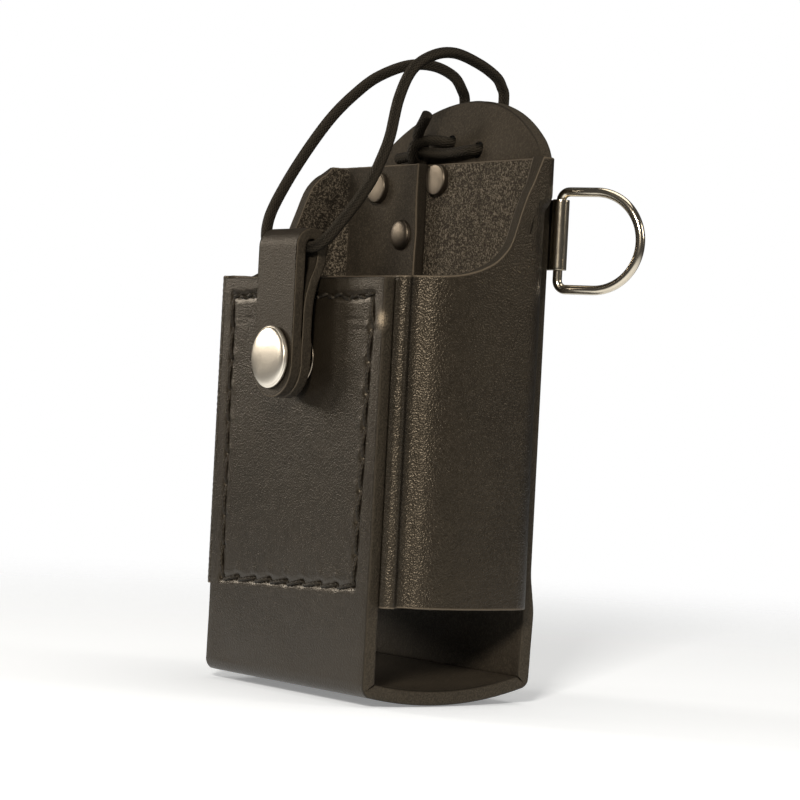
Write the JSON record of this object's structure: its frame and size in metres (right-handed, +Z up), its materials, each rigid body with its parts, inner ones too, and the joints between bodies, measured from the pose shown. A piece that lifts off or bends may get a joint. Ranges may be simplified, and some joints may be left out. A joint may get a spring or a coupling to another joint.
{
  "type": "leather radio case",
  "caption": "Black leather belt case for a hand-held radio, with an elastic retainer, snap tab, dee rings and belt loop.",
  "frame": {"origin": "on the strap's flat back face, on its centre line, at the middle of the belt loop's opening", "axes": "+Z up, front panel facing -Y, belt side facing +Y, +X to the right seen from the front"},
  "size_m": [0.1196, 0.0732, 0.167],
  "materials": {
    "case_leather": "satin black, fine pebble grain, suede inside",
    "tab_leather": "satin black, smooth grain",
    "bright_nickel": "polished nickel plate, lightly rubbed",
    "dark_nickel": "dull nickel",
    "waxed_thread": "black waxed twist",
    "braided_elastic": "black braided sleeve"
  },
  "bodies": {
    "root": {"cradle_strap": "case_leather", "wrap_body": "case_leather", "belt_loop": "case_leather", "rivet_cap_upper_left": "bright_nickel", "rivet_cap_upper_right": "bright_nickel", "rivet_cap_middle": "bright_nickel", "rivet_cap_lower_left": "bright_nickel", "rivet_cap_lower_right": "bright_nickel", "rivet_post_upper_left": "bright_nickel", "rivet_post_upper_right": "bright_nickel", "rivet_post_middle": "bright_nickel", "rivet_post_lower_left": "bright_nickel", "rivet_post_lower_right": "bright_nickel", "snap_stud": "bright_nickel", "snap_eyelet": "bright_nickel", "stitch_thread_front": "waxed_thread", "stitch_thread_back": "waxed_thread", "elastic_anchor_left": "braided_elastic", "elastic_anchor_right": "braided_elastic", "elastic_end_short": "braided_elastic", "elastic_end_upper": "braided_elastic", "elastic_knot": "braided_elastic", "dee_clip_left": "bright_nickel", "dee_clip_right": "bright_nickel", "dee_rivet_left": "bright_nickel", "dee_rivet_right": "bright_nickel"},
    "retainer": {"elastic_loop": "braided_elastic"},
    "tab": {"snap_tab": "tab_leather", "snap_cap": "bright_nickel", "snap_socket": "dark_nickel"},
    "dee_right": {"dee_ring_right": "bright_nickel"},
    "dee_left": {"dee_ring_left": "bright_nickel"}
  },
  "joints": [
    {"name": "retainer_swing", "type": "hinge", "parent": "root", "child": "retainer", "pos_m": [0, 0.00575, 0.078], "axis": [-1, 0, 0], "range_deg": [0, 100]},
    {"name": "tab_lift", "type": "hinge", "parent": "retainer", "child": "tab", "pos_m": [0.0008, -0.05425, 0.0334], "axis": [-1, 0, 0], "range_deg": [0, 140]},
    {"name": "dee_right_swing", "type": "hinge", "parent": "root", "child": "dee_right", "pos_m": [0.0386, 0.00115, 0.0386], "axis": [0, 0, 1], "range_deg": [-70, 70]},
    {"name": "dee_left_swing", "type": "hinge", "parent": "root", "child": "dee_left", "pos_m": [-0.0386, 0.00115, 0.0386], "axis": [0, 0, -1], "range_deg": [-70, 70]}
  ]
}
